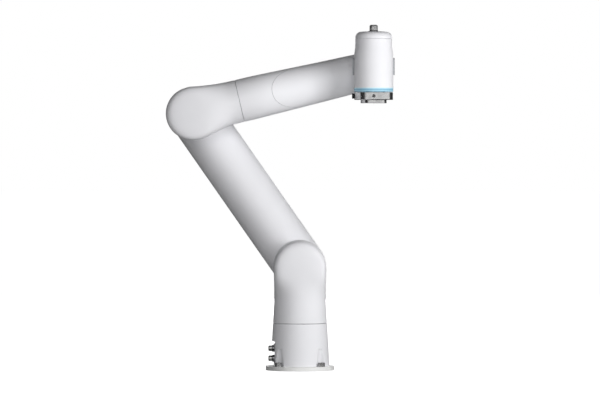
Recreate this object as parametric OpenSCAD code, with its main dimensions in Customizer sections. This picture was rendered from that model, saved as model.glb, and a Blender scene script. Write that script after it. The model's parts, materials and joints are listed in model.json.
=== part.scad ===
// Six-axis robot arm with smooth round castings, in the pose of the photo.
// Millimetres, +Z up. The origin is the middle of the base flange's underside.
// +X is the way the arm reaches, -Y is the side where the elbow and wrist show.

/* [Base] */
// Diameter of the mounting flange
flange_d = 164; // [160:1:190]
// Thickness of the mounting flange
flange_t = 10; // [6:0.5:14]
// Distance of the mounting bolts from the flange's edge
bolt_edge = 9; // [8:0.5:11]
// Clearance hole for one mounting bolt
bolt_hole_d = 11; // [6.6:0.2:12]
// Ledge of the flange round the base housing
flange_ledge = 11.5; // [9:0.5:14]
// How far the base housing draws in from the flange to the waist seam
base_draw = 5.5; // [3:0.5:8]
// Height of the waist seam
waist_z = 112; // [100:1:130]
// Radius of a bolt pocket at the flange
pocket_r = 15; // [13:0.5:17]
// Radius of a bolt pocket at its top
pocket_top_r = 8; // [5:0.5:9]
// Height of a bolt pocket above the flange
pocket_h = 42; // [35:1:60]

/* [Connectors] */
// Depth of the flat rear panel seat in the base housing
panel_cut = 11.5; // [10.5:0.5:14]
// Height of the panel seat above the panel
panel_head = 6; // [5:0.5:10]
// Rounding at the top of the panel seat
panel_round = 5; // [2:0.5:5]
// Thickness of the connector panel
panel_t = 2; // [1:0.5:4]
// Width of the connector panel
panel_w = 46; // [40:1:50]
// Height of the connector panel
panel_h = 52; // [48:1:58]
// Height of the upper connector above the flange
upper_port_h = 42; // [40:0.5:44]
// Height of the lower connector above the flange
lower_port_h = 18; // [16:0.5:20]
// Diameter of the connector collars
collar_d = 17; // [15:0.5:19]
// Length of the connector collars
collar_len = 6; // [4:0.5:8]
// Diameter of the connector barrels
barrel_d = 14; // [11:0.5:14.5]
// Length of the connector barrels
barrel_len = 9; // [6:0.5:12]

/* [Shoulder] */
// Height of the shoulder axis
shoulder_z = 246.5; // [235:0.5:280]
// Radius of the shoulder at its axis
shoulder_r = 63; // [60:0.5:65]
// How far the shoulder column draws in between its ends
shoulder_draw = 1.6; // [0:0.2:3]
// How square the rims of the shoulder's and elbow's front hubs are
rim_power = 8; // [5:1:12]
// Drop of the front hubs from middle to rim, as a share of their radius
hub_dome = 0.07; // [0:0.01:0.12]
// Length over which the column turns from its hub's flat front to a round tube
column_blend = 75; // [60:1:90]
// Rounding of the outer corner edges of the upper arm
corner_round = 18; // [12:1:24]
// Rounding of the inner corners
inner_round = 4; // [3:0.5:6]

/* [Upper arm] */
// Distance from the shoulder axis to the elbow axis
upper_arm_len = 450; // [400:5:500]
// Radius of the upper arm
upper_arm_r = 63; // [58:0.5:64]
// Lean of the upper arm back from upright, in degrees
upper_arm_lean = 34.9; // [25:0.1:45]

/* [Elbow] */
// Radius of the elbow at its axis
elbow_r = 64; // [61:0.5:66]
// Distance from the elbow axis to the forearm seam
elbow_len = 116; // [110:1:122]
// Where the elbow's draw-in ends, from the elbow axis
neck_len = 104; // [98:1:108]
// Height of the forearm's axis above the elbow axis
roll_rise = 3.5; // [0:0.5:6]

/* [Forearm] */
// Distance from the elbow axis to the wrist axis
forearm_len = 447; // [430:1:480]
// Radius of the forearm at its seam
forearm_r = 51.5; // [48:0.5:54]
// Radius of the forearm at the wrist
forearm_end_r = 45.5; // [43:0.5:48]
// Rise of the forearm above level, in degrees
forearm_rise = 13.3; // [5:0.1:25]
// Straight length of the forearm after its seam, before it shifts back
shift_lead = 32; // [26:1:40]
// Straight length of the forearm behind the wrist axis, after the shift
shift_tail = 98; // [90:1:104]
// Rounding of the forearm's outer corner edge
forearm_round = 14; // [9:1:18]
// Where the cover's seam crosses the front, from the forearm seam
cover_lead = 78; // [70:1:86]
// Length over which the cover's seam runs back to the middle of the forearm
cover_slant = 94; // [84:1:104]
// Distance of the cover's end from the wrist axis
cover_tail = 56; // [52:1:64]
// Gap at the cover's seam
cover_gap = 0.2; // [0.15:0.05:0.6]

/* [Wrist] */
// Radius of the wrist at the light ring
wrist_r = 47; // [45.5:0.5:49]
// How far the wrist draws in below its cap
wrist_taper = 3; // [1:0.2:4]
// Depth of the wrist housing below the wrist axis
wrist_below = 44.5; // [43:0.5:54]
// Height of the cap seam above the wrist axis
wrist_above = 73; // [66:0.5:80]
// Straight height of the wrist below the cap seam
wrist_brow = 11; // [6:0.5:16]
// How far the side hub stays above the light ring
hub_margin = 1.5; // [1:0.5:4]
// Height of the cap
cap_h = 17; // [16:0.5:22]
// Rounding of the cap's edge
cap_round = 14; // [8:0.5:14.5]
// Rise of the cap's crown
cap_crown = 1.5; // [1:0.5:3]
// Gap between cap and wrist housing at the skin
cap_gap = 0.4; // [0.2:0.1:1.2]
// Diameter of the top connector's socket
socket_d = 23; // [20:0.5:26]
// Diameter of the top connector's cover
top_cover_d = 20; // [17:0.5:22]
// Height of the top connector's cover
top_cover_h = 14; // [10:0.5:16]
// Height of the side pads
pad_h = 41.5; // [36:0.5:44]
// Width of the side pads
pad_w = 16; // [12:0.5:20]
// Height of the side pads above the wrist axis
pad_rise = 6.5; // [0:0.5:10]
// How far the side pads stand out
pad_proud = 3.5; // [2:0.5:5]
// Depth of the side pad's seat in the wrist
pad_depth = 5; // [4:0.5:9]
// Height of the light ring
light_h = 9.5; // [6:0.5:11]
// Inner radius of the light ring
light_bore_r = 36; // [35:0.5:39]

/* [Tool flange] */
// Height of the tool flange ring
tool_ring_h = 18.5; // [17:0.5:23]
// Diameter of the tool face
tool_face_d = 63; // [60:0.5:66]
// Height of the tool face below the ring
tool_face_h = 8; // [6:0.5:10]
// Bolt circle of the tool face
tool_pcd = 50; // [48:0.5:52]
// Core hole of one tapped tool bolt hole
tool_hole_d = 5; // [4.2:0.2:5.4]
// Depth of the tool bolt holes
tool_hole_depth = 12; // [8:0.5:14]
// Diameter of the centring bore
pilot_d = 31.5; // [28:0.5:34]
// Depth of the centring bore
pilot_depth = 7; // [5:0.5:9]
// Diameter of the locating pin hole
pin_hole_d = 6; // [5.8:0.1:6.6]
// Diameter of the side connector
tool_port_d = 13; // [10:0.5:14]
// Reach of the side connector beyond the ring
tool_port_proud = 5; // [3:0.5:8]
// Diameter of the plug hole at the front of the ring
plug_hole_d = 8; // [6:0.5:9]
// Depth of the plug hole
plug_hole_depth = 5; // [3:0.5:6]
// Length of the zero mark beside the plug hole
mark_len = 14; // [8:1:16]
// Width of the zero mark
mark_w = 1.6; // [1:0.2:2.4]
// Depth of the zero mark
mark_depth = 1.2; // [0.8:0.1:1.6]
// Turn of the zero mark from the plug hole, in degrees
mark_turn = 16; // [14:1:24]

/* [Joints] */
// Gap between two castings at a joint
seam_gap = 1; // [0.8:0.1:2.5]
// Running clearance inside a joint
run_gap = 0.3; // [0.2:0.05:0.5]
// How far a joint ring lies below the skin
ring_inset = 2; // [1:0.25:3]
// Depth of a joint spigot in the casting before it
spigot_len = 12; // [8:0.5:16]
// Wall between a joint spigot and the skin
spigot_wall = 20; // [17:0.5:22]
// Straight length of a joint hub beside its seam
hub_len = 2; // [1.5:0.5:5]
// Bevel of the edges at the seams
seam_bevel = 0.8; // [0.4:0.1:1.2]

/* [Hidden] */
$fn = 96;

// Lap of a tube over its hub, and how far from the hub's axis it starts to turn round
hub_lap = 0.2;
hub_lead = 16;

sides = 48;
corner_steps = 7;
turns = [for (i = [0:sides - 1]) (i + 0.5) * 360 / sides];

white = [0.9, 0.9, 0.91];
metal = [0.72, 0.73, 0.75];
dark = [0.12, 0.12, 0.13];
grey = [0.55, 0.56, 0.58];

arm_dir = [-sin(upper_arm_lean), 0, cos(upper_arm_lean)];
fore_dir = [cos(forearm_rise), 0, sin(forearm_rise)];
shoulder_at = [0, 0, shoulder_z];
elbow_at = shoulder_at + upper_arm_len * arm_dir;
fore_at = elbow_at + roll_rise * [-sin(forearm_rise), 0, cos(forearm_rise)];
wrist_at = fore_at + forearm_len * fore_dir;

// Base housing, its bolt circle and its panel, all from the flange's size
bolt_pcd = flange_d - 2 * bolt_edge;
base_foot_r = flange_d / 2 - flange_ledge;
waist_r = base_foot_r - base_draw;
panel_x = base_foot_r - panel_cut;
panel_foot = 2;
panel_z = flange_t + panel_foot + panel_h / 2;
panel_top = flange_t + panel_foot + panel_h + panel_head;

// Side seam of shoulder and elbow, and how far behind them the upper arm runs
side_y = max(shoulder_r, elbow_r) + inner_round + hub_len;
arm_y = side_y + seam_gap + hub_len + inner_round + upper_arm_r;
// Side seam of the wrist, its hub's radius, and how far behind it the forearm ends
wrist_side_y = wrist_r + inner_round + hub_len / 2;
wrist_hub_r = wrist_below - hub_margin;
fore_y = wrist_side_y + seam_gap + hub_len + inner_round + forearm_end_r;
wrist_top_r = wrist_r - wrist_taper;
fore_start = elbow_len + seam_gap;
shift_start = fore_start + shift_lead;
shift_end = forearm_len - shift_tail;
cover_start = fore_start + cover_lead;
cover_join = cover_start + cover_slant;
cover_end = forearm_len - cover_tail;

// Places children with their x along u and z along d, from point o
module in_frame(o, u, d) {
    n = cross(d, u);
    multmatrix([[u[0], n[0], d[0], o[0]], [u[1], n[1], d[1], o[1]], [u[2], n[2], d[2], o[2]],
        [0, 0, 0, 1]]) children();
}

// Solid through a list of rings that all have the same number of points
module loft(rings) {
    n = len(rings[0]);
    last = len(rings) - 1;
    polyhedron([for (ring = rings) each ring], concat(
        [for (k = [0:last - 1], i = [0:n - 1]) [k * n + i, k * n + (i + 1) % n, (k + 1) * n + (i + 1) % n]],
        [for (k = [0:last - 1], i = [0:n - 1]) [k * n + i, (k + 1) * n + (i + 1) % n, (k + 1) * n + i]],
        [[for (i = [n - 1:-1:0]) i], [for (i = [0:n - 1]) last * n + i]]));
}

function ease(x) = let (k = min(max(x, 0), 1)) k * k * (3 - 2 * k);
function mix(a, b, k) = a + (b - a) * k;

// Corner where a tube along u turns into a hub along d: outer edges and inner corners are rounded
function corner_point(r, outer, t, k) =
    let (c = cos(t), s = sin(t), f = c > 0 ? outer : -inner_round,
        dir = (1 - k) * [0, s, -c] + k * [-c, s, 0])
    (r - f) * [-c, s, -c] + f * dir / norm(dir);
function corner_rings(r, outer) = [for (k = [0:corner_steps])
    [for (t = turns) corner_point(r, outer, t, k / corner_steps)]];
// Front of a hub: flat and slightly domed, with a rounded rim
function hub_front(t) = pow(1 - pow(abs(sin(t)), rim_power),
    1 / rim_power) * (1 - hub_dome * pow(sin(t), 2));
// Point of a round tube, whose front goes out to that of its hub as k goes to 1
function tube_point(hub_r, r, t, k) =
    [r * sin(t), cos(t) > 0 ? -mix(r * cos(t), hub_r * hub_front(t), k) : -r * cos(t)];
function hub_ring(r, d) = [for (t = turns) [-r * cos(t), r * sin(t), d]];
function hub_rings(r, d) = [hub_ring(r, d - seam_bevel), hub_ring(r - seam_bevel, d)];
function tube_ring(r, u) = [for (t = turns) [u, r * sin(t), -r * cos(t)]];

// Radii along the drawn-in tubes, from the joint axis outward
function column_r(u) = let (l = shoulder_z - waist_z - seam_gap)
    mix(shoulder_r + hub_lap, waist_r, pow(u / l, 2)) - shoulder_draw * sin(180 * u / l);
function neck_r(u) = let (k = min(max((u - 8) / (neck_len - 8), 0), 1))
    mix(elbow_r + hub_lap, forearm_r, 1 - pow(1 - k, 2) * (1 + 0.6 * k));
function neck_rise(u) = roll_rise * ease((u - 8) / (neck_len - 8));
function fore_r(s) = mix(forearm_r, forearm_end_r,
    min(max((s - shift_start) / (forearm_len - shift_start), 0), 1));

// Middle line of the forearm as it shifts back, and its slope
function shift_y(s) = fore_y * ease((s - shift_start) / (shift_end - shift_start));
function shift_slope(s) = let (k = min(max((s - shift_start) / (shift_end - shift_start), 0), 1))
    6 * k * (1 - k) * fore_y / (shift_end - shift_start);
// The rings lean with the slope, and less so where the shift is too tight for their radius
ring_lean = min(1, pow(shift_end - shift_start, 2) / (7.5 * fore_y * forearm_r));
function shift_ring(s, inset = 0) = let (a = ring_lean * atan(shift_slope(s)), r = fore_r(s) - inset)
    [for (t = turns) [s - r * cos(t) * sin(a), r * sin(t), shift_y(s) + r * cos(t) * cos(a)]];
function front_y(s) = shift_y(s) - fore_r(s) / cos(atan(shift_slope(s)));

// Hub about z with its domed front at -z and its flat joint face at d
module front_hub(r, d) rotate_extrude() polygon(concat([for (t = [0:7.5:90])
    [r * sin(t), -r * hub_front(t)]],
    [[r, d - seam_bevel], [r - seam_bevel, d], [0, d]]));

// Ring and spigot of one joint: z = 0 is the flat end of the casting it is bolted to,
// and +z goes into the casting before it
module joint_ring(r) {
    rotate_extrude() polygon([[0, 0], [r - ring_inset, 0], [r - ring_inset, seam_gap - run_gap],
        [r - spigot_wall, seam_gap - run_gap],
        [r - spigot_wall, seam_gap + spigot_len - 1], [r - spigot_wall - 1, seam_gap + spigot_len],
            [0, seam_gap + spigot_len]]);
}

// Bore that takes the spigot: z = 0 is the flat end of the casting, +z goes into it
module joint_bore(r) {
    translate([0, 0, -1]) cylinder(r = r - spigot_wall + run_gap, h = spigot_len + run_gap + 1);
}

// Base

module base_flange() color(metal) difference() {
    rotate_extrude() polygon([[0, 0], [flange_d / 2 - 0.5, 0], [flange_d / 2, 0.5],
        [flange_d / 2, flange_t - 1], [flange_d / 2 - 1, flange_t], [0, flange_t]]);
    for (a = [45:90:315]) rotate(a) translate([bolt_pcd / 2, 0, -1])
        cylinder(d = bolt_hole_d, h = flange_t + 2);
}

module base_housing() color(white) difference() {
    rotate_extrude() polygon([[0, flange_t], [base_foot_r, flange_t], [waist_r, waist_z - seam_bevel],
        [waist_r - seam_bevel, waist_z], [0, waist_z]]);
    for (a = [45:90:315]) rotate(a) translate([bolt_pcd / 2, 0, flange_t - 1])
        cylinder(r1 = pocket_r, r2 = pocket_top_r, h = pocket_h + 1);
    rotate([90, 0, 0]) translate([0, 0, -base_foot_r]) linear_extrude(2 * base_foot_r)
        polygon([[-panel_x, flange_t - 1],
        for (a = [0:15:90]) [-panel_x - panel_round * (1 - cos(a)), panel_top - panel_round * (1 - sin(a))],
        [-panel_x - 30, panel_top], [-panel_x - 30, flange_t - 1]]);
    translate([0, 0, waist_z]) rotate([180, 0, 0]) joint_bore(waist_r);
}

module connector_panel() color(grey) translate([-panel_x - panel_t, 0, panel_z]) rotate([90, 0, 90])
    linear_extrude(panel_t) {
    square([panel_w, panel_h - 8], center = true);
    square([panel_w - 8, panel_h], center = true);
    for (x = [-1, 1], y = [-1, 1]) translate([x * (panel_w / 2 - 4), y * (panel_h / 2 - 4)]) circle(4);
}

module on_panel(h) translate([-panel_x - panel_t, 0, flange_t + h]) rotate([0, -90, 0]) children();

module collar() rotate_extrude() polygon([[0, 0], [collar_d / 2, 0], [collar_d / 2, collar_len - 1],
    [collar_d / 2 - 1, collar_len], [0, collar_len]]);

module barrel() translate([0, 0, collar_len]) rotate_extrude()
    polygon([[0, 0], [barrel_d / 2, 0], [barrel_d / 2, barrel_len - 2],
    [barrel_d / 2 - 0.6, barrel_len - 0.6], [barrel_d / 2 - 2, barrel_len], [0, barrel_len]]);

module upper_port_collar() color(dark) on_panel(upper_port_h) collar();
module upper_port_barrel() color(metal) on_panel(upper_port_h) barrel();
module lower_port_collar() color(dark) on_panel(lower_port_h) collar();
module lower_port_barrel() color(metal) on_panel(lower_port_h) barrel();

// Shoulder

module waist_ring() color(dark) translate([0, 0, waist_z + seam_gap]) rotate([180, 0, 0])
    joint_ring(waist_r);

module shoulder_housing() {
    foot = shoulder_z - waist_z - seam_gap;
    column = [for (i = [0:12])
        let (u = (foot - seam_bevel) * (1 - i / 12), r = i == 0 ? waist_r : column_r(u),
            k = ease((column_blend - u) / (column_blend - hub_lead)))
        [for (t = turns) let (p = tube_point(column_r(0), r, t, k)) [u, p[0], p[1]]]];
    color(white) in_frame(shoulder_at, [0, 0, -1], [0, 1, 0]) difference() {
        union() {
            front_hub(shoulder_r, side_y);
            loft(concat([tube_ring(waist_r - seam_bevel, foot)], column));
        }
        translate([0, 0, side_y]) rotate([180, 0, 0]) joint_bore(shoulder_r);
    }
}

// Upper arm

module shoulder_ring() color(dark) translate(shoulder_at + [0, side_y + seam_gap, 0]) rotate([90, 0, 0])
    joint_ring(shoulder_r);

module upper_arm_casting() {
    end_d = arm_y - side_y - seam_gap;
    near = concat(corner_rings(upper_arm_r, corner_round), hub_rings(upper_arm_r, end_d));
    far = [for (k = [len(near) - 1:-1:0]) [for (p = near[k]) [upper_arm_len - p[0], p[1], p[2]]]];
    color(white) in_frame(shoulder_at + [0, arm_y, 0], arm_dir, [0, -1, 0]) difference() {
        loft(concat(far, [tube_ring(upper_arm_r, upper_arm_len / 2)], near));
        translate([upper_arm_len, 0, end_d]) rotate([180, 0, 0]) joint_bore(upper_arm_r);
    }
}

// Elbow

module elbow_ring() color(dark) translate(elbow_at + [0, side_y, 0]) rotate([-90, 0, 0])
    joint_ring(upper_arm_r);

module elbow_housing() {
    neck = [for (i = [0:12])
        let (u = (elbow_len - seam_bevel) * (1 - i / 12), r = i == 0 ? forearm_r : neck_r(u),
            k = ease((neck_len - u) / (neck_len - hub_lead)))
        [for (t = turns) let (p = tube_point(neck_r(0), r, t, k)) [u, p[0] - neck_rise(u), p[1]]]];
    mouth = [for (p = tube_ring(forearm_r - seam_bevel, elbow_len)) p - [0, roll_rise, 0]];
    color(white) in_frame(elbow_at, fore_dir, [0, 1, 0]) difference() {
        union() {
            front_hub(elbow_r, side_y);
            loft(concat([mouth], neck));
        }
        translate([elbow_len, -roll_rise, 0]) rotate([0, -90, 0]) joint_bore(forearm_r);
    }
}

// Forearm: x runs along its axis from beside the elbow axis, z is how far it lies back

module forearm_ring() color(dark) in_frame(fore_at, fore_dir, [0, 1, 0])
    translate([elbow_len + seam_gap, 0, 0]) rotate([0, -90, 0]) joint_ring(forearm_r);

module forearm_solid() {
    straight = [shift_ring(fore_start, seam_bevel), shift_ring(fore_start + seam_bevel)];
    shift = [for (k = [0:12]) shift_ring(mix(shift_start, shift_end, k / 12))];
    end = concat(corner_rings(forearm_end_r, forearm_round),
        hub_rings(forearm_end_r, fore_y - wrist_side_y - seam_gap));
    loft(concat(straight, shift, [for (ring = end)
        [for (p = ring) [forearm_len - p[0], p[1], fore_y - p[2]]]]));
}

// Space of the front cover, grown by gap at its seam
module cover_space(gap) {
    front = front_y(cover_start) - forearm_r;
    slope = (shift_y(cover_join) - front_y(cover_start)) / (cover_join - cover_start);
    half = 1.5 * forearm_r;
    rotate([90, 0, 0]) translate([0, 0, -half]) linear_extrude(2 * half) polygon(concat(
        [[cover_start - forearm_r / slope - gap, front]],
        [for (k = [0:6]) let (s = mix(cover_join, cover_end, k / 6))
            [s + (k == 6 ? gap : k == 0 ? -gap : 0), shift_y(s) + gap]],
        [[cover_end + gap, front]]));
}

module forearm_casting() color(white) in_frame(fore_at, fore_dir, [0, 1, 0]) difference() {
    forearm_solid();
    cover_space(cover_gap);
    translate([forearm_len, 0, wrist_side_y + seam_gap]) joint_bore(wrist_hub_r);
}

module forearm_cover() color(white) in_frame(fore_at, fore_dir, [0, 1, 0]) intersection() {
    forearm_solid();
    cover_space(0);
}

// Wrist

module wrist_ring() color(dark) translate(wrist_at + [0, wrist_side_y, 0]) rotate([-90, 0, 0])
    joint_ring(wrist_hub_r);

module wrist_housing() color(white) translate(wrist_at) difference() {
    taper_start = pad_rise + pad_h / 2 + 1;
    taper_end = wrist_above - wrist_brow;
    union() {
        rotate_extrude() polygon(concat([[0, -wrist_below], [wrist_r, -wrist_below]],
            [for (k = [0:6]) [wrist_r - wrist_taper * ease(k / 6), mix(taper_start, taper_end, k / 6)]],
            [[wrist_top_r, wrist_above - seam_bevel], [wrist_top_r - seam_bevel, wrist_above],
                [0, wrist_above]]));
        rotate([-90, 0, 0]) cylinder(r = wrist_hub_r, h = wrist_side_y);
    }
    for (side = [0, 180]) rotate(side) translate([wrist_r - pad_depth, 0, pad_rise]) pad_slab(run_gap);
    translate([0, 0, -wrist_below]) joint_bore(wrist_r);
}

module wrist_cap() color(white) translate(wrist_at + [0, 0, wrist_above]) difference() {
    rotate_extrude() union() {
        polygon([[0, 0], [wrist_top_r - 3, 0], [wrist_top_r - 3, cap_gap],
            [wrist_top_r - seam_bevel, cap_gap], [wrist_top_r, cap_gap + seam_bevel],
                [wrist_top_r, cap_h - cap_round],
            for (a = [10:10:80]) [wrist_top_r - cap_round * (1 - cos(a)), cap_h - cap_round * (1 - sin(a))],
            for (k = [0:5]) [(wrist_top_r - cap_round) * (1 - k / 5),
                cap_h + cap_crown * (1 - pow(1 - k / 5, 2))]]);
    }
    translate([0, 0, cap_h - 4]) cylinder(d = socket_d + 2 * run_gap, h = 20);
}

module top_socket() color(dark) translate(wrist_at + [0, 0, wrist_above + cap_h - 4])
    cylinder(d = socket_d, h = 4 + cap_crown + 1);

module top_socket_cover() color(metal) translate(wrist_at + [0, 0, wrist_above + cap_h + cap_crown + 1])
    rotate_extrude()
    polygon([[0, 0], [top_cover_d / 2, 0], [top_cover_d / 2, top_cover_h - 2.5],
        [top_cover_d / 2 - 2.5, top_cover_h], [0, top_cover_h]]);

// Upright slab with round ends, grown by gap all round
module pad_slab(gap) rotate([90, 0, 90]) linear_extrude(pad_depth + pad_proud) {
    square([pad_w + 2 * gap, pad_h - pad_w], center = true);
    for (end = [-1, 1]) translate([0, end * (pad_h - pad_w) / 2]) circle(d = pad_w + 2 * gap);
}

module side_pad() translate([wrist_r - pad_depth, 0, pad_rise]) pad_slab(0);

module side_pad_front() color(grey) translate(wrist_at) side_pad();
module side_pad_rear() color(grey) translate(wrist_at) rotate(180) side_pad();

module status_light() color([0.55, 0.75, 0.85]) translate(wrist_at + [0, 0, -wrist_below - light_h])
    rotate_extrude()
    polygon([[light_bore_r, 0], [wrist_r - seam_bevel, 0], [wrist_r, seam_bevel], [wrist_r, light_h],
        [light_bore_r, light_h]]);

// Tool flange: z = 0 is the top of its ring

module tool_flange() color(metal) translate(wrist_at + [0, 0, -wrist_below - light_h - seam_gap])
    difference() {
    rotate_extrude() polygon([[0, light_h + seam_gap + spigot_len],
        [wrist_r - spigot_wall, light_h + seam_gap + spigot_len], [wrist_r - spigot_wall, 0],
            [wrist_r - seam_bevel, 0],
        [wrist_r, -seam_bevel], [wrist_r, 1.5 - tool_ring_h], [wrist_r - 1.5, -tool_ring_h],
            [tool_face_d / 2, -tool_ring_h],
        [tool_face_d / 2, 0.5 - tool_ring_h - tool_face_h],
            [tool_face_d / 2 - 0.5, -tool_ring_h - tool_face_h], [0, -tool_ring_h - tool_face_h]]);
    translate([0, 0, -tool_ring_h - tool_face_h]) {
        for (a = [45:90:315]) rotate(a) translate([tool_pcd / 2, 0, -1])
            cylinder(d = tool_hole_d, h = tool_hole_depth + 1);
        translate([0, tool_pcd / 2, -1]) cylinder(d = pin_hole_d, h = pilot_depth + 1);
        translate([0, 0, -1]) cylinder(d = pilot_d, h = pilot_depth + 1);
    }
    translate([-wrist_r + 8, 0, -tool_ring_h / 2]) rotate([0, -90, 0])
        cylinder(d = tool_port_d + 2 * run_gap, h = 20);
    translate([0, plug_hole_depth - wrist_r, -tool_ring_h / 2]) rotate([90, 0, 0])
        cylinder(d = plug_hole_d, h = plug_hole_depth + 5);
    rotate(mark_turn - 90) translate([wrist_r - mark_depth, -mark_len / 2, -(tool_ring_h + mark_w) / 2])
        cube([5, mark_len, mark_w]);
}

module tool_port() color(dark) translate(wrist_at + [-wrist_r + 8,
    0, -wrist_below - light_h - seam_gap - tool_ring_h / 2]) rotate([0, -90, 0]) rotate_extrude()
    polygon([[0, 0], [tool_port_d / 2, 0], [tool_port_d / 2, 7 + tool_port_proud],
        [tool_port_d / 2 - 1, 8 + tool_port_proud], [0, 8 + tool_port_proud]]);

base_flange();
base_housing();
connector_panel();
upper_port_collar();
upper_port_barrel();
lower_port_collar();
lower_port_barrel();
waist_ring();
shoulder_housing();
shoulder_ring();
upper_arm_casting();
elbow_ring();
elbow_housing();
forearm_ring();
forearm_casting();
forearm_cover();
wrist_ring();
wrist_housing();
wrist_cap();
top_socket();
top_socket_cover();
side_pad_front();
side_pad_rear();
status_light();
tool_flange();
tool_port();
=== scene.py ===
import json
import math

import bmesh
import bpy
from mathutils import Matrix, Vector

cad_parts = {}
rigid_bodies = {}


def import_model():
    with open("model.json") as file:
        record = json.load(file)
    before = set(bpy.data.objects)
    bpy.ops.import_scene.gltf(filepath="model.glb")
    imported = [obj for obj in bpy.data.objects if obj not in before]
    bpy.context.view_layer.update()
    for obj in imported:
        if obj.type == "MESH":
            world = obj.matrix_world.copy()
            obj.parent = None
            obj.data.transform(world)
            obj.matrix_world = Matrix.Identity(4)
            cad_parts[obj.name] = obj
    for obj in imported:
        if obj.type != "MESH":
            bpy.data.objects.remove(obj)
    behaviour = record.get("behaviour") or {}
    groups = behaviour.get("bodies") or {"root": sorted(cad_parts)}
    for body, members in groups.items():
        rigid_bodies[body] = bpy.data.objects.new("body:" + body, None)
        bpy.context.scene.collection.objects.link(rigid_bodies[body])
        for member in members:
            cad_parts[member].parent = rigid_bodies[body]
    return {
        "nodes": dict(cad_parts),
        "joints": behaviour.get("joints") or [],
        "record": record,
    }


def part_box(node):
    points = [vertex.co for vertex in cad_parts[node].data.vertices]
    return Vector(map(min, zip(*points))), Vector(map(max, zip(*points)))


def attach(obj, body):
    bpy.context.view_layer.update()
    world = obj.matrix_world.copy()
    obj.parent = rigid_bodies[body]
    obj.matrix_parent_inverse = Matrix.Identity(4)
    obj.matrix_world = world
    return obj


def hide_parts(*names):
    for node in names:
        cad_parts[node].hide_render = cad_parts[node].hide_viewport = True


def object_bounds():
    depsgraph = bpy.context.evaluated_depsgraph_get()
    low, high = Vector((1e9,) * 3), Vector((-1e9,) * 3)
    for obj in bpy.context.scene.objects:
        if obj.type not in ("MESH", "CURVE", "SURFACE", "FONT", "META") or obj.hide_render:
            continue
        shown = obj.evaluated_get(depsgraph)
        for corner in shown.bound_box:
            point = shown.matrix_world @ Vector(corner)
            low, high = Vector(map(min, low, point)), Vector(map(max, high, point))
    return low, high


bl_info = {
    "name": "Robot Arm Dressing",
    "version": (1, 0, 0),
    "blender": (4, 5, 0),
    "location": "View3D > Sidebar > Robot Arm",
    "description": "Dresses the packed six-axis robot arm with its finishes, fasteners and connectors",
    "category": "Object",
}

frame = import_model()
NODES = frame["nodes"]
JOINTS = {joint["name"]: joint for joint in frame["joints"]}
MOUNTS = {mount["name"]: mount for mount in frame["record"]["mounts"]}
BODIES = frame["record"]["behaviour"]["bodies"]
BODY_OF = {node: body for body, nodes in BODIES.items() for node in nodes}
CAD_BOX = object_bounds()

ALONG_X = (0, 1, 1)
ALONG_Z = (1, 1, 0)
FLANGE_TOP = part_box("base_flange")[1].z
BOLT_CIRCLE_R = MOUNTS["base_bolts"]["dims"]["pcd_mm"] / 2000
BOLT_COUNT = MOUNTS["base_bolts"]["dims"]["count"]
FIRST_BOLT = 45
WRIST_AXIS = Vector(JOINTS["flange_roll"]["pos_m"])
PLUG_HOLE_DEPTH = 0.005
MERGE_DISTANCE = 0.00001
SLIVER_SIZE = 0.00002
ON_AXIS = 1e-6
UPRIGHT_TILT = 0.1
ROUND_SIDES = 48
KNOB_SIDES = 72
CASTINGS = ("shoulder_housing", "upper_arm_casting", "elbow_housing", "forearm_casting",
            "forearm_cover", "wrist_housing", "wrist_cap", "base_housing")

# Dark strip in the forearm cover's seam, painted shade for the seam's gap: how its seam faces are told
# from the rest, and how it stands out
CUT_TILT = 0.02
CUT_FRONT = -0.2
CUT_END = 0.5
SEAM_STRIP_OFFSET = 0.2
SEAM_STRIP_PROUD = 0.00012

# Turned profiles, as shares of the piece's length and of its radius
COUPLING_PROFILE = (
    (0, 0.9), (0.06, 0.98), (0.08, 1), (0.56, 1), (0.60, 0.94), (0.68, 0.94),
    (0.72, 0.98), (0.84, 0.93), (0.93, 0.84), (1, 0.70), (1, 0.55), (0.8, 0.53))
KNOB_PROFILE = (
    (0, 0.95), (0.05, 1), (0.60, 1), (0.63, 0.95), (0.68, 0.95), (0.71, 1),
    (0.82, 1), (0.96, 0.80), (1, 0.72), (1, 0.52), (0.92, 0.50))
PORT_PROFILE = (
    (0, 1), (0.62, 1), (0.66, 0.93), (0.72, 0.93), (0.76, 1), (0.96, 1),
    (1, 0.94), (1, 0.66), (0.72, 0.64))

# Edge and groove of a side pad, as distances below its face and inside its rim
PAD_EDGE = (
    (0.0016, 0), (0.0008, 0.0002), (0.0002, 0.0008), (0, 0.0016), (0, 0.0028),
    (0.0005, 0.0032), (0.0005, 0.0038), (0.0001, 0.0042), (0, 0.0050))

# Materials: the noise's useful span, the lathe marks' spacing and the metals' roughness
NOISE_LOW = 0.35
NOISE_HIGH = 0.65
LATHE_PITCH = 0.0004
PLATE_ROUGHNESS = 0.5
PLATING_ROUGHNESS = 0.12
ANODISED_ROUGHNESS = 0.18
COVER_ROUGHNESS = 0.36
POLISH_ROUGHNESS = 0.16

# Light ring: stops added between its edges, and how pale each stop is from the bottom up
RING_STOPS = (0.25, 0.58, 0.8)
RING_PALENESS = (0, 0.35, 0, 0.4, 0.75)

# Stage: each lamp's name, turn from the front in degrees, distance, height and size
LAMPS = (("key", 50, 1.9, 0.8, 1.2), ("fill", -2, 3.0, 0.75, 2.0), ("back", 180, 4.6, 1.3, 2.4))
FLOOR_SIZE = 60
FLOOR_DROP = 0.0005
SENSOR_WIDTH = 36
CLIP_END = 100

# Cards in the reflections: the front card's turn, and where each card's edge fades
CARD_TURN = math.radians(28)
CARD_EDGE = (0.05, 0.30)
REAR_EDGE = (0.90, 0.97)
BAND_EDGE = (0.3, 0.65)


# Settings


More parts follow.
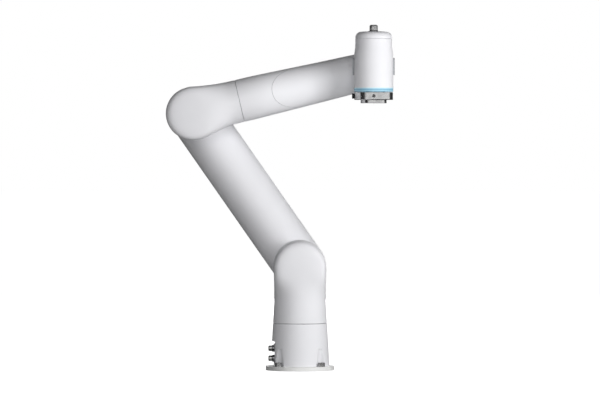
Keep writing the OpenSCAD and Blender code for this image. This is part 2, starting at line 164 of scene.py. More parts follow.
class PaintSettings(bpy.types.PropertyGroup):
    """Paint on the castings"""

    color: bpy.props.FloatVectorProperty(
        name="Paint", description="Colour of the painted castings",
        subtype="COLOR", size=3, min=0, max=1, default=(0.80, 0.80, 0.825))
    roughness: bpy.props.FloatProperty(
        name="Roughness", description="Satin of the paint",
        subtype="FACTOR", min=0, max=1, default=0.48)
    peel: bpy.props.FloatProperty(
        name="Orange peel", description="Spacing of the fine ripple in the paint",
        subtype="DISTANCE", unit="LENGTH", min=0.0005, max=0.01, default=0.0022)
    edge: bpy.props.FloatProperty(
        name="Cast edge", description="Rounding of the cast edges round the bolt pockets",
        subtype="DISTANCE", unit="LENGTH", min=0.0002, max=0.006, default=0.0026)


class MetalSettings(bpy.types.PropertyGroup):
    """Bare metal on the flanges, connectors and fasteners"""

    turned: bpy.props.FloatVectorProperty(
        name="Tool flange", description="Colour of the turned tool flange",
        subtype="COLOR", size=3, min=0, max=1, default=(0.45, 0.45, 0.45))
    plate: bpy.props.FloatVectorProperty(
        name="Base flange", description="Colour of the base flange",
        subtype="COLOR", size=3, min=0, max=1, default=(0.86, 0.86, 0.85))
    steel: bpy.props.FloatVectorProperty(
        name="Fastener steel", description="Colour of the bolts and screws",
        subtype="COLOR", size=3, min=0, max=1, default=(0.48, 0.48, 0.48))
    oxide: bpy.props.FloatVectorProperty(
        name="Flange plug", description="Colour of the dark plug in the tool flange",
        subtype="COLOR", size=3, min=0, max=1, default=(0.11, 0.11, 0.11))
    plated: bpy.props.FloatVectorProperty(
        name="Plated connectors", description="Colour of the plated connector shells",
        subtype="COLOR", size=3, min=0, max=1, default=(0.60, 0.60, 0.59))
    anodised: bpy.props.FloatVectorProperty(
        name="Anodised collars", description="Colour of the connectors' dark collars",
        subtype="COLOR", size=3, min=0, max=1, default=(0.27, 0.27, 0.28))
    cover: bpy.props.FloatVectorProperty(
        name="Top connector cover", description="Colour of the cover on top of the wrist",
        subtype="COLOR", size=3, min=0, max=1, default=(0.50, 0.50, 0.50))


class TrimSettings(bpy.types.PropertyGroup):
    """Plastic, rubber and light"""

    plastic: bpy.props.FloatVectorProperty(
        name="Black plastic", description="Colour of the connector plastics",
        subtype="COLOR", size=3, min=0, max=1, default=(0.016, 0.016, 0.018))
    # Shared colour: the seal rings in the joint seams, and the painted shade of the dark strip in the
    # forearm cover's seam
    seal: bpy.props.FloatVectorProperty(
        name="Seals", description="Colour of the rings in the joint seams and of the cover's gasket",
        subtype="COLOR", size=3, min=0, max=1, default=(0.30, 0.30, 0.32))
    panel: bpy.props.FloatVectorProperty(
        name="Connector panel", description="Colour of the connector panel",
        subtype="COLOR", size=3, min=0, max=1, default=(0.42, 0.42, 0.44))
    pad: bpy.props.FloatVectorProperty(
        name="Side pads", description="Colour of the wrist's side pads",
        subtype="COLOR", size=3, min=0, max=1, default=(0.31, 0.32, 0.34))
    light: bpy.props.FloatVectorProperty(
        name="Light ring", description="Colour of the light ring",
        subtype="COLOR", size=3, min=0, max=1, default=(0.17, 0.40, 0.56))
    pale: bpy.props.FloatVectorProperty(
        name="Light ring edges", description="Colour that the light ring pales to at its edges",
        subtype="COLOR", size=3, min=0, max=1, default=(0.70, 0.95, 1.0))
    # Thickness of the dark strip that paints shade into the forearm cover's seam
    seam_shade_strip: bpy.props.FloatProperty(
        name="Cover gasket", description="Thickness of the gasket in the forearm cover's seam",
        subtype="DISTANCE", unit="LENGTH", min=0.0003, max=0.002, default=0.0007)
    glow: bpy.props.FloatProperty(
        name="Light ring glow", description="Strength of the light ring's own light",
        min=0, max=5, default=0.06)


class FastenerSettings(bpy.types.PropertyGroup):
    """Bolts, screws and the flange plug"""

    bolt_head: bpy.props.FloatProperty(
        name="Bolt head", description="Diameter of the mounting bolts' heads",
        subtype="DISTANCE", unit="LENGTH", min=0.008, max=0.02, default=0.016)
    bolt_height: bpy.props.FloatProperty(
        name="Bolt head height", description="Height of the mounting bolts' heads",
        subtype="DISTANCE", unit="LENGTH", min=0.004, max=0.014, default=0.010)
    screw_head: bpy.props.FloatProperty(
        name="Panel screw head", description="Diameter of the panel screws' heads",
        subtype="DISTANCE", unit="LENGTH", min=0.003, max=0.008, default=0.0055)
    screw_height: bpy.props.FloatProperty(
        name="Panel screw height", description="Height of the panel screws' heads",
        subtype="DISTANCE", unit="LENGTH", min=0.001, max=0.004, default=0.002)
    screw_inset: bpy.props.FloatProperty(
        name="Panel screw inset", description="Distance of the panel screws from the panel's edges",
        subtype="DISTANCE", unit="LENGTH", min=0.003, max=0.01, default=0.0045)
    plug: bpy.props.FloatProperty(
        name="Flange plug", description="Diameter of the plug in the front of the tool flange",
        subtype="DISTANCE", unit="LENGTH", min=0.004, max=0.009, default=0.0078)
    plug_length: bpy.props.FloatProperty(
        name="Flange plug length", description="Length of the plug in the front of the tool flange",
        subtype="DISTANCE", unit="LENGTH", min=0.002, max=0.005, default=0.0042)


class StageSettings(bpy.types.PropertyGroup):
    """Floor, light and camera"""

    floor: bpy.props.FloatVectorProperty(
        name="Floor", description="Colour of the floor",
        subtype="COLOR", size=3, min=0, max=1, default=(0.5, 0.5, 0.5))
    key: bpy.props.FloatProperty(
        name="Key light", description="Strength of the soft light at the front right",
        min=0, max=1000, default=27)
    fill: bpy.props.FloatProperty(
        name="Fill light", description="Strength of the soft light at the front",
        min=0, max=1000, default=41)
    back: bpy.props.FloatProperty(
        name="Back light", description="Strength of the soft light behind the arm",
        min=0, max=1000, default=150)
    ambient: bpy.props.FloatProperty(
        name="Ambient", description="Strength of the light from all round",
        min=0, max=1, default=0.06)
    shade: bpy.props.FloatProperty(
        name="Dark side", description="How bright the dark side of the studio is in reflections",
        min=0, max=1, default=0.07)
    card: bpy.props.FloatProperty(
        name="White cards", description="How bright the white cards at eye level are in reflections",
        min=0, max=5, default=1.6)
    glow: bpy.props.FloatProperty(
        name="Floor white", description="How far the floor is lifted to white for the camera",
        min=0, max=1, default=0.975)
    distance: bpy.props.FloatProperty(
        name="Camera distance", description="Distance of the camera from the base axis",
        subtype="DISTANCE", unit="LENGTH", min=2, max=20, default=12)
    height: bpy.props.FloatProperty(
        name="Camera height", description="Height of the camera above the floor",
        subtype="DISTANCE", unit="LENGTH", min=0, max=3, default=0.6)
    aim: bpy.props.FloatProperty(
        name="Camera aim", description="Height of the point that the camera looks at",
        subtype="DISTANCE", unit="LENGTH", min=0, max=1, default=0.408)
    lens: bpy.props.FloatProperty(
        name="Lens", description="Focal length of the camera",
        subtype="DISTANCE_CAMERA", min=35, max=600, default=300)


# Selection and editing


def deselect():
    if bpy.context.object and bpy.context.object.mode != "OBJECT":
        bpy.ops.object.mode_set(mode="OBJECT")
    bpy.ops.object.select_all(action="DESELECT")


def activate(obj):
    deselect()
    obj.select_set(True)
    bpy.context.view_layer.objects.active = obj
    return obj


def edit(obj, mode="FACE"):
    activate(obj)
    bpy.ops.object.mode_set(mode="EDIT")
    bpy.ops.mesh.select_mode(type=mode)
    bpy.ops.mesh.select_all(action="DESELECT")


def pick_faces(test):
    mesh = bpy.context.edit_object.data
    cage = bmesh.from_edit_mesh(mesh)
    for face in cage.faces:
        face.select_set(bool(test(face)))
    bmesh.update_edit_mesh(mesh)


def pick_verts(test):
    mesh = bpy.context.edit_object.data
    cage = bmesh.from_edit_mesh(mesh)
    for vert in cage.verts:
        vert.select_set(bool(test(vert)))
    cage.select_flush_mode()
    bmesh.update_edit_mesh(mesh)


def leave_edit():
    bpy.ops.object.mode_set(mode="OBJECT")


def settle(obj):
    """Puts the object's place into its mesh."""
    activate(obj)
    bpy.ops.object.transform_apply(location=True, rotation=True, scale=True)


def add_modifier(obj, kind, **values):
    activate(obj)
    modifier = obj.modifiers.new(kind.title(), kind)
    for name, value in values.items():
        setattr(modifier, name, value)
    bpy.ops.object.modifier_apply(modifier=modifier.name)


def smooth(obj, angle=30):
    activate(obj)
    bpy.ops.object.shade_smooth_by_angle(angle=math.radians(angle))


def soften(obj, width, angle, segments):
    """Rounds every edge sharper than the angle."""
    add_modifier(obj, "BEVEL", width=width, segments=segments, limit_method="ANGLE",
                 angle_limit=math.radians(angle), harden_normals=False)


def clear_slivers(obj):
    """Removes the flat faces that a bevel leaves where rounded edges meet."""
    edit(obj, "VERT")
    bpy.ops.mesh.select_all(action="SELECT")
    bpy.ops.mesh.remove_doubles(threshold=SLIVER_SIZE)
    bpy.ops.mesh.dissolve_degenerate(threshold=SLIVER_SIZE)
    bpy.ops.mesh.delete_loose()
    leave_edit()


def copy_of(obj, name):
    activate(obj)
    bpy.ops.object.duplicate()
    piece = bpy.context.active_object
    piece.name = name
    return piece


def place_at(obj, location, rotation=(0, 0, 0)):
    obj.location = location
    obj.rotation_euler = rotation
    settle(obj)


def remove(obj):
    activate(obj)
    bpy.ops.object.delete()


# Shared shapes


def merged_copy(node, name):
    """Copy of a node with its doubled vertices merged."""
    piece = copy_of(NODES[node], name)
    bpy.ops.object.parent_clear(type="CLEAR_KEEP_TRANSFORM")
    settle(piece)
    bpy.ops.mesh.customdata_custom_splitnormals_clear()
    edit(piece, "VERT")
    bpy.ops.mesh.select_all(action="SELECT")
    bpy.ops.mesh.remove_doubles(threshold=MERGE_DISTANCE)
    leave_edit()
    return piece


def scaled(profile, length, radius):
    """Turns a profile of shares into heights and radii."""
    return [(along * length, across * radius) for along, across in profile]


def turned(name, profile, sides=ROUND_SIDES):
    """Round piece on Z: a disc extruded and scaled through its (height, radius) steps."""
    height, radius = profile[0]
    deselect()
    bpy.ops.mesh.primitive_circle_add(
        vertices=sides, radius=radius, fill_type="NGON", location=(0, 0, height))
    piece = bpy.context.active_object
    piece.name = name
    settle(piece)
    edit(piece)
    bpy.ops.mesh.select_all(action="SELECT")
    for next_height, next_radius in profile[1:]:
        rise = (0, 0, next_height - height)
        bpy.ops.mesh.extrude_region_move(TRANSFORM_OT_translate={"value": rise})
        bpy.ops.transform.resize(value=(next_radius / radius, next_radius / radius, 1))
        height, radius = next_height, next_radius
    bpy.ops.mesh.select_all(action="SELECT")
    bpy.ops.mesh.normals_make_consistent(inside=False)
    leave_edit()
    return piece


def stretch(piece, distance):
    """Pulls the halves of a round piece apart along X, to leave straight sides between round ends."""
    edit(piece, "VERT")
    for side in (-1, 1):
        pick_verts(lambda vert: side * vert.co.x > ON_AXIS)
        bpy.ops.transform.translate(value=(side * distance, 0, 0))
    leave_edit()


def flute(piece, low, high, sides, inset, depth):
    """Sinks every second side face between two heights, as grip flutes."""

    def is_flute(face):
        middle = face.calc_center_median()
        step = math.floor(math.atan2(middle.y, middle.x) / math.tau * sides)
        upright = abs(face.normal.z) < UPRIGHT_TILT
        return upright and low < middle.z < high and step % 2 == 0

    edit(piece)
    pick_faces(is_flute)
    bpy.ops.mesh.inset(thickness=inset, depth=-depth, use_individual=True)
    leave_edit()


def sink_hexagon(piece, across, top, depth):
    """Cuts a hexagon socket into the top of a screw head."""
    deselect()
    bpy.ops.mesh.primitive_cylinder_add(
        vertices=6, radius=across / math.sqrt(3), depth=2 * depth, location=(0, 0, top))
    cutter = bpy.context.active_object
    add_modifier(piece, "BOOLEAN", operation="DIFFERENCE", solver="EXACT", object=cutter)
    remove(cutter)


def socket_screw(name, head, height, flutes=36):
    """Head of a socket screw on Z, with its underside at 0."""
    radius = head / 2
    rim = 0.06 * head
    across_flats = 0.46 * head
    socket_depth = 0.55 * height
    profile = [(0, radius - rim / 2), (rim / 2, radius), (height - rim, radius), (height, radius - rim)]
    piece = turned(name, profile, 2 * flutes)
    flute(piece, rim, height - rim, 2 * flutes, inset=0.004 * head, depth=0.006 * head)
    sink_hexagon(piece, across_flats, height, socket_depth)
    smooth(piece)
    return piece


# Materials


def new_material(name, color, roughness, metallic=0.0):
    material = bpy.data.materials.new(name)
    material.use_nodes = True
    shader = material.node_tree.nodes["Principled BSDF"]
    shader.inputs["Base Color"].default_value = (*color, 1)
    shader.inputs["Roughness"].default_value = roughness
    shader.inputs["Metallic"].default_value = metallic
    return material, material.node_tree, shader


def grain(tree, size, detail=2.0):
    """Even noise with grains of that size."""
    place = tree.nodes.new("ShaderNodeTexCoord")
    noise = tree.nodes.new("ShaderNodeTexNoise")
    noise.inputs["Scale"].default_value = 1 / size
    noise.inputs["Detail"].default_value = detail
    tree.links.new(place.outputs["Object"], noise.inputs["Vector"])
    return noise.outputs["Fac"]


def lathe_lines(tree, size, centre, axis):
    """Noise that runs round an axis, as the tool marks of a lathe."""
    place = tree.nodes.new("ShaderNodeTexCoord")
    shift = tree.nodes.new("ShaderNodeVectorMath")
    shift.operation = "SUBTRACT"
    shift.inputs[1].default_value = centre
    across = tree.nodes.new("ShaderNodeVectorMath")
    across.operation = "MULTIPLY"
    across.inputs[1].default_value = axis
    radius = tree.nodes.new("ShaderNodeVectorMath")
    radius.operation = "LENGTH"
    along = tree.nodes.new("ShaderNodeVectorMath")
    along.operation = "DOT_PRODUCT"
    along.inputs[1].default_value = [1 - side for side in axis]
    flat = tree.nodes.new("ShaderNodeCombineXYZ")
    noise = tree.nodes.new("ShaderNodeTexNoise")
    noise.inputs["Scale"].default_value = 1 / size
    noise.inputs["Detail"].default_value = 3
    tree.links.new(place.outputs["Object"], shift.inputs[0])
    tree.links.new(shift.outputs[0], across.inputs[0])
    tree.links.new(across.outputs[0], radius.inputs[0])
    tree.links.new(shift.outputs[0], along.inputs[0])
    tree.links.new(radius.outputs["Value"], flat.inputs["X"])
    tree.links.new(along.outputs["Value"], flat.inputs["Y"])
    tree.links.new(flat.outputs[0], noise.inputs["Vector"])
    return noise.outputs["Fac"]


def vary_color(tree, shader, pattern, color, spread):
    """Lets the colour wander about its value."""
    ramp = tree.nodes.new("ShaderNodeValToRGB")
    for stop, place, share in ((0, NOISE_LOW, 1 - spread), (1, NOISE_HIGH, 1 + spread)):
        ramp.color_ramp.elements[stop].position = place
        ramp.color_ramp.elements[stop].color = (*(min(1, share * channel) for channel in color), 1)
    tree.links.new(pattern, ramp.inputs["Fac"])
    tree.links.new(ramp.outputs["Color"], shader.inputs["Base Color"])


def vary_roughness(tree, shader, pattern, low, high):
    level = tree.nodes.new("ShaderNodeMapRange")
    level.inputs["From Min"].default_value = NOISE_LOW
    level.inputs["From Max"].default_value = NOISE_HIGH
    level.inputs["To Min"].default_value = low
    level.inputs["To Max"].default_value = high
    tree.links.new(pattern, level.inputs["Value"])
    tree.links.new(level.outputs[0], shader.inputs["Roughness"])


def add_bump(tree, shader, pattern, strength, distance):
    bump = tree.nodes.new("ShaderNodeBump")
    bump.inputs["Strength"].default_value = strength
    bump.inputs["Distance"].default_value = distance
    tree.links.new(pattern, bump.inputs["Height"])
    tree.links.new(bump.outputs["Normal"], shader.inputs["Normal"])


def casting_paint(settings):
    material, tree, shader = new_material("casting_paint", settings.color, settings.roughness)
    shader.inputs["Specular IOR Level"].default_value = 0.3
    cloud = grain(tree, size=0.09)
    vary_color(tree, shader, cloud, settings.color, spread=0.012)
    vary_roughness(tree, shader, cloud, settings.roughness - 0.04, settings.roughness + 0.04)
    add_bump(tree, shader, grain(tree, settings.peel, detail=1), strength=0.03, distance=0.0002)
    return material


def turned_metal(name, color, roughness, centre, axis, metallic=1):
    material, tree, shader = new_material(name, color, roughness, metallic)
    lines = lathe_lines(tree, LATHE_PITCH, centre, axis)
    vary_color(tree, shader, lines, color, spread=0.05)
    vary_roughness(tree, shader, grain(tree, size=0.012), roughness - 0.03, roughness + 0.05)
    add_bump(tree, shader, lines, strength=0.05, distance=0.00003)
    return material


def fastener_steel(name, color):
    material, tree, shader = new_material(name, color, roughness=0.24, metallic=1)
    vary_color(tree, shader, grain(tree, size=0.004), color, spread=0.06)
    vary_roughness(tree, shader, grain(tree, size=0.0015), low=0.18, high=0.3)
    add_bump(tree, shader, grain(tree, size=0.0006), strength=0.06, distance=0.00003)
    return material


def moulded(name, color, roughness, texture=0.0005):
    """Moulded plastic or rubber with a fine surface texture."""
    material, tree, shader = new_material(name, color, roughness)
    vary_color(tree, shader, grain(tree, size=0.02), color, spread=0.06)
    vary_roughness(tree, shader, grain(tree, size=0.008), roughness - 0.05, roughness + 0.05)
    add_bump(tree, shader, grain(tree, texture, detail=1), strength=0.12, distance=0.00005)
    return material


def light_band(settings):
    """Frosted band that glows, paler at its edges than along its middle."""
    low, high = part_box("status_light")
    material, tree, shader = new_material("light_band", settings.light, roughness=0.35)
    shader.inputs["Emission Strength"].default_value = settings.glow
    place = tree.nodes.new("ShaderNodeTexCoord")
    split = tree.nodes.new("ShaderNodeSeparateXYZ")
    height = tree.nodes.new("ShaderNodeMapRange")
    height.inputs["From Min"].default_value = low.z
    height.inputs["From Max"].default_value = high.z
    ramp = tree.nodes.new("ShaderNodeValToRGB")
    stops = ramp.color_ramp.elements
    for share in RING_STOPS:
        stops.new(share)
    for stop, paleness in zip(stops, RING_PALENESS):
        pairs = zip(settings.light, settings.pale)
        stop.color = (*(deep + paleness * (pale - deep) for deep, pale in pairs), 1)
    tree.links.new(place.outputs["Object"], split.inputs[0])
    tree.links.new(split.outputs["Z"], height.inputs["Value"])
    tree.links.new(height.outputs[0], ramp.inputs["Fac"])
    tree.links.new(ramp.outputs["Color"], shader.inputs["Base Color"])
    tree.links.new(ramp.outputs["Color"], shader.inputs["Emission Color"])
    add_bump(tree, shader, grain(tree, size=0.0008, detail=1), strength=0.08, distance=0.00005)
    return material


def soft_step(tree, edge):
    """Map range node that goes smoothly from 0 to 1 between the edge's two values."""
    step = tree.nodes.new("ShaderNodeMapRange")
    step.interpolation_type = "SMOOTHSTEP"
    step.inputs["From Min"].default_value = edge[0]
    step.inputs["From Max"].default_value = edge[1]
    return step


def dress(obj, material):
    obj.data.materials.clear()
    obj.data.materials.append(material)


def fit(piece, material, body):
    dress(piece, material)
    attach(piece, body)


# Operators


class ROBOT_OT_castings(bpy.types.Operator):
    """Smooth painted skins for the cast housings"""

    bl_idname = "robot.castings"
    bl_label = "Castings"

    def execute(self, context):
        settings = context.scene.robot_paint
        paint = casting_paint(settings)
        for node in CASTINGS:
            piece = merged_copy(node, node + "_skin")
            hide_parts(node)
            if node == "base_housing":
                soften(piece, settings.edge, angle=20, segments=3)
                clear_slivers(piece)
            smooth(piece, angle=32)
            fit(piece, paint, BODY_OF[node])
        return {"FINISHED"}


class ROBOT_OT_joint_rings(bpy.types.Operator):
    """Grey rings in the seams between the castings"""

    bl_idname = "robot.joint_rings"
    bl_label = "Joint Rings"

    def execute(self, context):
        rubber = moulded("joint_ring", context.scene.robot_trim.seal, roughness=0.6)
        for node in ("waist_ring", "shoulder_ring", "elbow_ring", "forearm_ring", "wrist_ring"):
            dress(NODES[node], rubber)
        return {"FINISHED"}


class ROBOT_OT_cover_seam_shade_strip(bpy.types.Operator):
    """Thin dark strip at the elbow end of the forearm cover's seam, painting the shade in the seam's
    gap, made before the castings
    """

    bl_idname = "robot.cover_gasket"
    bl_label = "Cover Seam Shade Strip"

    def execute(self, context):
        trim = context.scene.robot_trim
        along = Vector(JOINTS["forearm_roll"]["axis"])
        up = along.cross(Vector((0, -1, 0))).normalized()

        def is_waste(face):
            tilted = abs(face.normal.dot(up)) > CUT_TILT
            outside = face.normal.y < CUT_FRONT
            wrist_end = face.normal.dot(along) > CUT_END
            return tilted or outside or wrist_end

        piece = merged_copy("forearm_cover", "cover_gasket")
        edit(piece)
        pick_faces(is_waste)
        bpy.ops.mesh.delete(type="FACE")
        leave_edit()
        piece.vertex_groups.new(name="rim")
        add_modifier(piece, "SOLIDIFY", thickness=trim.seam_shade_strip, offset=SEAM_STRIP_OFFSET,
                     rim_vertex_group="rim")
        edit(piece, "VERT")
        bpy.ops.object.vertex_group_select()
        bpy.ops.transform.shrink_fatten(value=SEAM_STRIP_PROUD)
        leave_edit()
        piece.vertex_groups.clear()
        # The strip's dark colour is painted shade for the gap in the cover's seam
        fit(piece, moulded("gasket_rubber", trim.seal, roughness=0.6), "forearm")
        return {"FINISHED"}


class ROBOT_OT_base_flange(bpy.types.Operator):
    """Mounting flange with its bolts"""

    bl_idname = "robot.base_flange"
    bl_label = "Base Flange and Bolts"

    def execute(self, context):
        metal, sizes = context.scene.robot_metal, context.scene.robot_fasteners
        plate = turned_metal(
            "flange_metal", metal.plate, PLATE_ROUGHNESS, (0, 0, 0), ALONG_Z, metallic=0.15)
        dress(NODES["base_flange"], plate)
        steel = fastener_steel("bolt_steel", metal.steel)
        bolt = socket_screw("bolt", sizes.bolt_head, sizes.bolt_height)
        place_at(bolt, (BOLT_CIRCLE_R, 0, FLANGE_TOP))
        for number in range(BOLT_COUNT):
            turn = math.radians(FIRST_BOLT + 360 / BOLT_COUNT * number)
            piece = copy_of(bolt, f"base_bolt_{number + 1}")
            place_at(piece, (0, 0, 0), (0, 0, turn))
            fit(piece, steel, "base")
        remove(bolt)
        return {"FINISHED"}


class ROBOT_OT_connectors(bpy.types.Operator):
    """Rear connector panel with its screws and two connectors"""

    bl_idname = "robot.connectors"
    bl_label = "Connector Panel"

    def execute(self, context):
        scene = context.scene
        trim, metal, sizes = scene.robot_trim, scene.robot_metal, scene.robot_fasteners
        steel = fastener_steel("screw_steel", metal.steel)
        low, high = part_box("connector_panel")
        panel = moulded("panel_paint", trim.panel, roughness=0.5, texture=0.0012)
        dress(NODES["connector_panel"], panel)
        screw = socket_screw("screw", sizes.screw_head, sizes.screw_height, flutes=18)
        inset = sizes.screw_inset
        for row, height in (("lower", low.z + inset), ("upper", high.z - inset)):
            for side, across in (("left", high.y - inset), ("right", low.y + inset)):
                piece = copy_of(screw, f"panel_screw_{row}_{side}")
                place_at(piece, (low.x, across, height), (0, -math.pi / 2, 0))
                fit(piece, steel, "base")
        remove(screw)
        for name in ("upper", "lower"):
            node = name + "_port_barrel"
            start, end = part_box(node)
            radius, length = (end.z - start.z) / 2, end.x - start.x
            centre = (end.x, (start.y + end.y) / 2, (start.z + end.z) / 2)
            plating = turned_metal(
                name + "_port_plating", metal.plated, PLATING_ROUGHNESS, centre, ALONG_X)
            anodising = turned_metal(
                name + "_port_anodising", metal.anodised, ANODISED_ROUGHNESS, centre, ALONG_X)
            piece = turned(name + "_port_coupling", scaled(COUPLING_PROFILE, length, radius))
            flute(piece, 0.1 * length, 0.55 * length, ROUND_SIDES,
                  inset=0.012 * radius, depth=0.03 * radius)
            smooth(piece)
            place_at(piece, centre, (0, -math.pi / 2, 0))
            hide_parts(node)
            fit(piece, plating, "base")
            dress(NODES[name + "_port_collar"], anodising)
        return {"FINISHED"}


class ROBOT_OT_wrist_trim(bpy.types.Operator):
    """Top connector, side pads and light ring of the wrist"""

    bl_idname = "robot.wrist_trim"
    bl_label = "Wrist Trim"

    def execute(self, context):
        trim, metal = context.scene.robot_trim, context.scene.robot_metal
        plastic = moulded("socket_plastic", trim.plastic, roughness=0.35)
        dress(NODES["top_socket"], plastic)
        low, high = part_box("top_socket_cover")
        radius, height = (high.x - low.x) / 2, high.z - low.z
        plated = turned_metal("cover_plating", metal.cover, COVER_ROUGHNESS, WRIST_AXIS, ALONG_Z)
        knob = turned("top_connector_cover", scaled(KNOB_PROFILE, height, radius), KNOB_SIDES)
        flute(knob, 0.06 * height, 0.59 * height, KNOB_SIDES,
              inset=0.006 * radius, depth=0.03 * radius)
        smooth(knob)
        place_at(knob, (WRIST_AXIS.x, WRIST_AXIS.y, low.z))
        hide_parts("top_socket_cover")
        fit(knob, plated, "wrist")

        pad_plastic = moulded("pad_plastic", trim.pad, roughness=0.45)
        pads = (("side_pad_front", math.pi / 2, 0), ("side_pad_rear", -math.pi / 2, 1))
        for node, turn, seat in pads:
            low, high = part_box(node)
            radius, depth = (high.y - low.y) / 2, high.x - low.x
            centre = ((low.x, high.x)[seat], (low.y + high.y) / 2, (low.z + high.z) / 2)
            edge = [(depth - below, radius - inside) for below, inside in PAD_EDGE]
            pad = turned(node + "_shell", [(0, radius), *edge])
            stretch(pad, (high.z - low.z) / 2 - radius)
            smooth(pad)
            place_at(pad, centre, (0, turn, 0))
            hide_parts(node)
            fit(pad, pad_plastic, "wrist")
        dress(NODES["status_light"], light_band(trim))
        return {"FINISHED"}


class ROBOT_OT_tool_flange(bpy.types.Operator):
    """Polished tool flange and its side connector"""

    bl_idname = "robot.tool_flange"
    bl_label = "Tool Flange"

    def execute(self, context):
        scene = context.scene
        trim, metal, sizes = scene.robot_trim, scene.robot_metal, scene.robot_fasteners
        polished = turned_metal("flange_polish", metal.turned, POLISH_ROUGHNESS, WRIST_AXIS, ALONG_Z)
        dress(NODES["tool_flange"], polished)
        low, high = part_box("tool_port")
        radius, length = (high.z - low.z) / 2, high.x - low.x
        centre = (high.x, (low.y + high.y) / 2, (low.z + high.z) / 2)
        port = turned("tool_connector", scaled(PORT_PROFILE, length, radius))
        flute(port, 0.77 * length, 0.95 * length, ROUND_SIDES,
              inset=0.01 * radius, depth=0.04 * radius)
        smooth(port)
        place_at(port, centre, (0, -math.pi / 2, 0))
        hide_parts("tool_port")
        plastic = moulded("tool_connector_plastic", trim.plastic, roughness=0.3)
        fit(port, plastic, "tool_flange")

        plug = socket_screw("flange_plug", sizes.plug, sizes.plug_length, flutes=18)
        hole_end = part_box("tool_flange")[0].y + PLUG_HOLE_DEPTH
        place_at(plug, (WRIST_AXIS.x, hole_end, centre[2]), (math.pi / 2, 0, 0))
        fit(plug, fastener_steel("plug_steel", metal.oxide), "tool_flange")
        return {"FINISHED"}


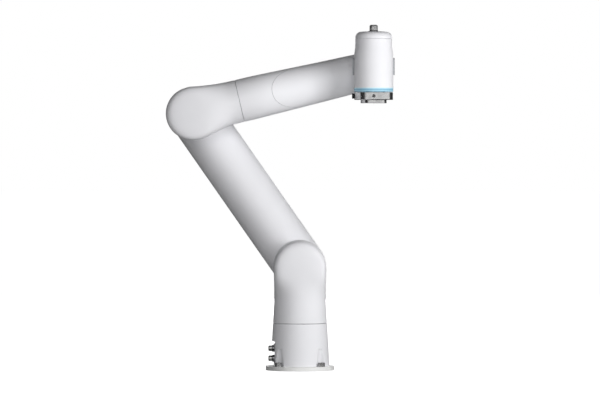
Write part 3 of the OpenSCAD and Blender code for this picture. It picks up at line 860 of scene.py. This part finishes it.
class ROBOT_OT_stage(bpy.types.Operator):
    """Pale floor, soft studio light and the camera"""

    bl_idname = "robot.stage"
    bl_label = "Stage"

    def white_floor(self, settings):
        deselect()
        bpy.ops.mesh.primitive_plane_add(size=FLOOR_SIZE, location=(0, 0, -FLOOR_DROP))
        floor = bpy.context.active_object
        floor.name = "floor"
        settle(floor)
        material, tree, shader = new_material("floor_white", settings.floor, roughness=1)
        shader.inputs["Specular IOR Level"].default_value = 0
        shader.inputs["Emission Color"].default_value = (1, 1, 1, 1)
        path = tree.nodes.new("ShaderNodeLightPath")
        glow = tree.nodes.new("ShaderNodeMath")
        glow.operation = "MULTIPLY"
        glow.inputs[1].default_value = settings.glow
        color = tree.nodes.new("ShaderNodeMix")
        color.data_type = "RGBA"
        color.inputs["A"].default_value = (*settings.floor, 1)
        color.inputs["B"].default_value = (settings.shade, settings.shade, settings.shade, 1)
        tree.links.new(path.outputs["Is Glossy Ray"], color.inputs["Factor"])
        tree.links.new(color.outputs["Result"], shader.inputs["Base Color"])
        tree.links.new(path.outputs["Is Camera Ray"], glow.inputs[0])
        tree.links.new(glow.outputs[0], shader.inputs["Emission Strength"])
        floor.data.materials.append(material)

    def studio_world(self, settings):
        """White for the camera, dim for the light all round, white cards at eye level in reflections."""
        world = bpy.data.worlds.new("studio")
        world.use_nodes = True
        bpy.context.scene.world = world
        tree = world.node_tree
        back = tree.nodes["Background"]
        back.inputs["Color"].default_value = (1, 1, 1, 1)
        path = tree.nodes.new("ShaderNodeLightPath")
        place = tree.nodes.new("ShaderNodeTexCoord")
        facing = tree.nodes.new("ShaderNodeVectorMath")
        facing.operation = "DOT_PRODUCT"
        facing.inputs[1].default_value = (math.sin(CARD_TURN), -math.cos(CARD_TURN), 0)
        split = tree.nodes.new("ShaderNodeSeparateXYZ")
        card = soft_step(tree, CARD_EDGE)
        rear = soft_step(tree, REAR_EDGE)
        both = tree.nodes.new("ShaderNodeMath")
        both.operation = "MAXIMUM"
        height = tree.nodes.new("ShaderNodeMath")
        height.operation = "ABSOLUTE"
        level = soft_step(tree, BAND_EDGE)
        level.inputs["To Min"].default_value = 1
        level.inputs["To Max"].default_value = 0
        band = tree.nodes.new("ShaderNodeMath")
        band.operation = "MULTIPLY"
        bright = tree.nodes.new("ShaderNodeMapRange")
        bright.inputs["To Min"].default_value = settings.shade
        bright.inputs["To Max"].default_value = settings.card
        glossy = tree.nodes.new("ShaderNodeMix")
        glossy.inputs["A"].default_value = settings.ambient
        seen = tree.nodes.new("ShaderNodeMix")
        seen.inputs["B"].default_value = 1
        tree.links.new(place.outputs["Generated"], facing.inputs[0])
        tree.links.new(facing.outputs["Value"], card.inputs["Value"])
        tree.links.new(path.outputs["Is Glossy Ray"], glossy.inputs["Factor"])
        tree.links.new(place.outputs["Generated"], split.inputs[0])
        tree.links.new(split.outputs["Z"], height.inputs[0])
        tree.links.new(height.outputs[0], level.inputs["Value"])
        tree.links.new(split.outputs["Y"], rear.inputs["Value"])
        tree.links.new(card.outputs[0], both.inputs[0])
        tree.links.new(rear.outputs[0], both.inputs[1])
        tree.links.new(both.outputs[0], band.inputs[0])
        tree.links.new(level.outputs[0], band.inputs[1])
        tree.links.new(band.outputs[0], bright.inputs["Value"])
        tree.links.new(bright.outputs[0], glossy.inputs["B"])
        tree.links.new(path.outputs["Is Camera Ray"], seen.inputs["Factor"])
        tree.links.new(glossy.outputs["Result"], seen.inputs["A"])
        tree.links.new(seen.outputs["Result"], back.inputs["Strength"])

    def execute(self, context):
        settings = context.scene.robot_stage
        self.white_floor(settings)
        self.studio_world(settings)
        deselect()
        middle = Vector((0, 0, (CAD_BOX[0].z + CAD_BOX[1].z) / 2))
        for name, azimuth, distance, height, size in LAMPS:
            turn = math.radians(azimuth)
            place = Vector((distance * math.sin(turn), -distance * math.cos(turn), height))
            bpy.ops.object.light_add(type="AREA", location=place)
            lamp = context.active_object
            lamp.name = name
            lamp.data.size = size
            lamp.data.energy = getattr(settings, name)
            lamp.visible_camera = False
            lamp.visible_glossy = False
            lamp.rotation_euler = (middle - place).to_track_quat("-Z", "Y").to_euler()

        place = Vector((0, -settings.distance, settings.height))
        bpy.ops.object.camera_add(location=place)
        camera = context.active_object
        camera.data.lens = settings.lens
        camera.data.sensor_width = SENSOR_WIDTH
        camera.data.clip_end = CLIP_END
        aim = Vector((0, 0, settings.aim))
        camera.rotation_euler = (aim - place).to_track_quat("-Z", "Y").to_euler()
        context.scene.camera = camera
        context.scene.view_settings.view_transform = "Standard"
        return {"FINISHED"}


class ROBOT_PT_panel(bpy.types.Panel):
    """Lists the steps that dress the arm"""

    bl_idname = "ROBOT_PT_panel"
    bl_label = "Robot Arm"
    bl_space_type = "VIEW_3D"
    bl_region_type = "UI"
    bl_category = "Robot Arm"

    def draw(self, context):
        for operator in OPERATORS:
            self.layout.operator(operator.bl_idname)


SETTINGS = {"robot_paint": PaintSettings, "robot_metal": MetalSettings, "robot_trim": TrimSettings,
            "robot_fasteners": FastenerSettings, "robot_stage": StageSettings}
OPERATORS = (ROBOT_OT_cover_seam_shade_strip, ROBOT_OT_castings, ROBOT_OT_joint_rings, ROBOT_OT_base_flange,
             ROBOT_OT_connectors, ROBOT_OT_wrist_trim, ROBOT_OT_tool_flange, ROBOT_OT_stage)


def register():
    for name, group in SETTINGS.items():
        bpy.utils.register_class(group)
        setattr(bpy.types.Scene, name, bpy.props.PointerProperty(type=group))
    for cls in (*OPERATORS, ROBOT_PT_panel):
        bpy.utils.register_class(cls)


def unregister():
    for cls in (ROBOT_PT_panel, *OPERATORS):
        bpy.utils.unregister_class(cls)
    for name, group in SETTINGS.items():
        delattr(bpy.types.Scene, name)
        bpy.utils.unregister_class(group)


def main():
    register()
    bpy.ops.robot.cover_gasket()
    bpy.ops.robot.castings()
    bpy.ops.robot.joint_rings()
    bpy.ops.robot.base_flange()
    bpy.ops.robot.connectors()
    bpy.ops.robot.wrist_trim()
    bpy.ops.robot.tool_flange()
    bpy.ops.robot.stage()


if __name__ == "__main__":
    main()
